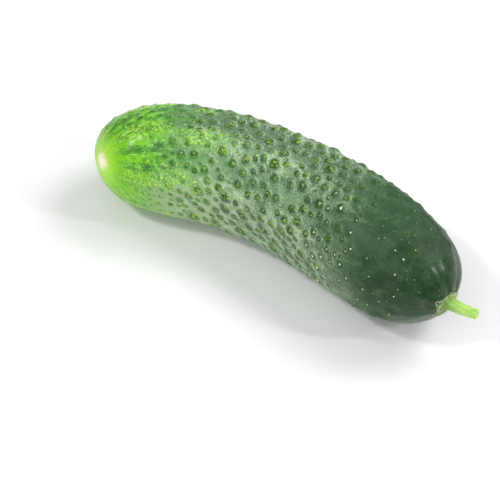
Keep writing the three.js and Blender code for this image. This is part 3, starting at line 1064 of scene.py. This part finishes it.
HAIR_SEED = 6
COLLAR_HAIRS = 380
COLLAR_TUFTS = 3.2  # how close the tufts are that they draw together into
COLLAR_NEAREST = 2.2  # from the stem end of the centreline
COLLAR_SPREAD = 2.3
COLLAR_CROWDING = 1.3  # above 1, more of them stand near the stem
COLLAR_GAP = 0.5  # from the stem's foot
TUFT_SPREAD = 2.2
COLLAR_TILT = 0.35
COLLAR_LENGTHS = (0.3, 0.7)
COLLAR_RADII = (0.06, 0.1)
STEM_HAIRS = 150
STEM_HAIR_START = 0.04  # shares of the stem's length
STEM_HAIR_SPREAD = 0.9
STEM_HAIR_CROWDING = 1.2  # above 1, more of them stand near the foot
STEM_HAIR_STRAY = 0.22  # from the stem's edges, in radians
STEM_HAIR_TILT = 0.3
STEM_HAIR_LENGTHS = (0.16, 0.38)
STEM_HAIR_RADII = (0.045, 0.075)


def spine_rows():
    """A short blunt spine on half of the warts, where they are clear of the ground."""
    random = np.random.default_rng(SPINE_SEED)
    raised = relief(WART_STATION, WART_AROUND) + WART_HEIGHT
    for middle, out, height in zip(WART_MIDDLES, WART_OUT, raised):
        kept, length, radius = random.random(), random.random(), random.random()
        tilt = random.normal(0, SPINE_TILT, 3)
        root = middle + out * height
        if kept <= SPINE_SHARE and root[2] >= SPINE_CLEARANCE:
            yield root, out + tilt, between(SPINE_LENGTHS, length * length), between(SPINE_RADII, radius)


def collar_rows(random):
    """Bristles in tufts on the ring of skin round the stem's foot."""
    for _ in range(COLLAR_HAIRS):
        spread = random.random() ** COLLAR_CROWDING
        turn = TAU * random.random()
        tufts = noise.noise(Vector((math.cos(turn), math.sin(turn), 0.5)) * COLLAR_TUFTS)
        station = math.pi - (COLLAR_NEAREST + (COLLAR_SPREAD + TUFT_SPREAD * tufts) * spread) / END_RADIUS
        tilt, size = random.normal(0, COLLAR_TILT, 3), random.random()
        _, _, out = directions(np.array(station), np.array(turn))
        root = bare_skin(station, turn) + out * relief(station, turn)
        if np.linalg.norm(root - STEM_ROOT) >= STEM_FOOT_RADIUS + COLLAR_GAP:
            yield root, out + tilt, between(COLLAR_LENGTHS, size), between(COLLAR_RADII, size)


def stem_hair_rows(random):
    """Bristles along the stem's edges, more of them near its foot."""
    for _ in range(STEM_HAIRS):
        reach = STEM_HAIR_START + STEM_HAIR_SPREAD * random.random() ** STEM_HAIR_CROWDING
        edge = TAU * round(random.random() * STEM_ANGLES) / STEM_ANGLES
        angle = edge + random.normal(0, STEM_HAIR_STRAY)
        tilt, size = random.normal(0, STEM_HAIR_TILT, 3), random.random()
        middle, above, aside, _ = stem_frame(reach)
        out = above * math.sin(angle) + aside * math.cos(angle)
        root = middle + out * stem_radius(reach, angle)
        yield root, out + tilt, between(STEM_HAIR_LENGTHS, size), between(STEM_HAIR_RADII, size)


def hair_rows():
    random = np.random.default_rng(HAIR_SEED)
    yield from collar_rows(random)
    yield from stem_hair_rows(random)


dress(make_skin(), skin_material(), "fruit")
dress(make_stem(), stem_material(), "stem")
dress(cones("spines", spine_rows(), sides=5), bristle_material("spine", SPINE, PALE_SPINE))
dress(cones("bristles", hair_rows(), sides=4), bristle_material("bristle", BRISTLE, PALE_BRISTLE))


# ---------------- scene

VIEW_AZIMUTH = 27.91  # degrees, as all angles here
VIEW_RISE = 53.05
VIEW_DISTANCE = 500.0
VIEW_ASIDE = (-13.195, -2.685)  # how far right of and above the origin the camera's axis passes
CAMERA_LENS = 120.0
SENSOR_WIDTH = 36.0
CLIP_START = 0.01  # metres

WORLD_STRENGTH = 0.42
FLOOR_REACH = 3000.0
LAMP_DISTANCE = 0.8  # metres, as the lamps' sizes
LAMPS = [  # name, azimuth, rise, width, depth, watts
    ("left_lamp", -50, 56, 0.1, 0.1, 1.5),
    ("right_lamp", 104, 35, 0.05, 0.18, 1.3),
    ("key_lamp", 146, 50, 0.4, 0.4, 3.1),
    ("front_lamp", 0, 50, 0.7, 0.7, 1.3),
]


def basis(azimuth, rise):
    """Right, up and back of something that looks at the origin from an azimuth and a rise."""
    azimuth, rise = math.radians(azimuth), math.radians(rise)
    back = Vector((math.sin(azimuth) * math.cos(rise), -math.cos(azimuth) * math.cos(rise), math.sin(rise)))
    right = Vector((math.cos(azimuth), math.sin(azimuth), 0))
    return right, back.cross(right), back


def look(piece, location, back):
    piece.location = location
    piece.rotation_euler = back.to_track_quat("Z", "Y").to_euler()
    bpy.context.scene.collection.objects.link(piece)


def add_camera():
    camera = bpy.data.cameras.new("camera")
    camera.lens = CAMERA_LENS
    camera.sensor_width = SENSOR_WIDTH
    camera.clip_start = CLIP_START
    right, up, back = basis(VIEW_AZIMUTH, VIEW_RISE)
    piece = bpy.data.objects.new("camera", camera)
    location = back * VIEW_DISTANCE + right * VIEW_ASIDE[0] + up * VIEW_ASIDE[1]
    look(piece, location * MM, back)
    bpy.context.scene.camera = piece


def add_lamp(name, azimuth, rise, width, depth, power):
    """A soft light that faces the fruit, its width level."""
    lamp = bpy.data.lights.new(name, "AREA")
    lamp.shape = "RECTANGLE"
    lamp.size = width
    lamp.size_y = depth
    lamp.energy = power
    _, _, back = basis(azimuth, rise)
    look(bpy.data.objects.new(name, lamp), back * LAMP_DISTANCE, back)


def add_world():
    world = bpy.data.worlds.new("studio")
    world.use_nodes = True
    background = world.node_tree.nodes["Background"]
    background.inputs["Color"].default_value = (1, 1, 1, 1)
    background.inputs["Strength"].default_value = WORLD_STRENGTH
    bpy.context.scene.world = world


def add_floor():
    corners = np.array([(-1, -1, 0), (1, -1, 0), (1, 1, 0), (-1, 1, 0)]) * FLOOR_REACH
    floor = mesh_object("floor", corners, [(0, 1, 2, 3)])
    floor.data.materials.append(floor_material())


add_camera()
add_world()
add_floor()
for lamp_row in LAMPS:
    add_lamp(*lamp_row)
bpy.context.scene.view_settings.view_transform = "Standard"
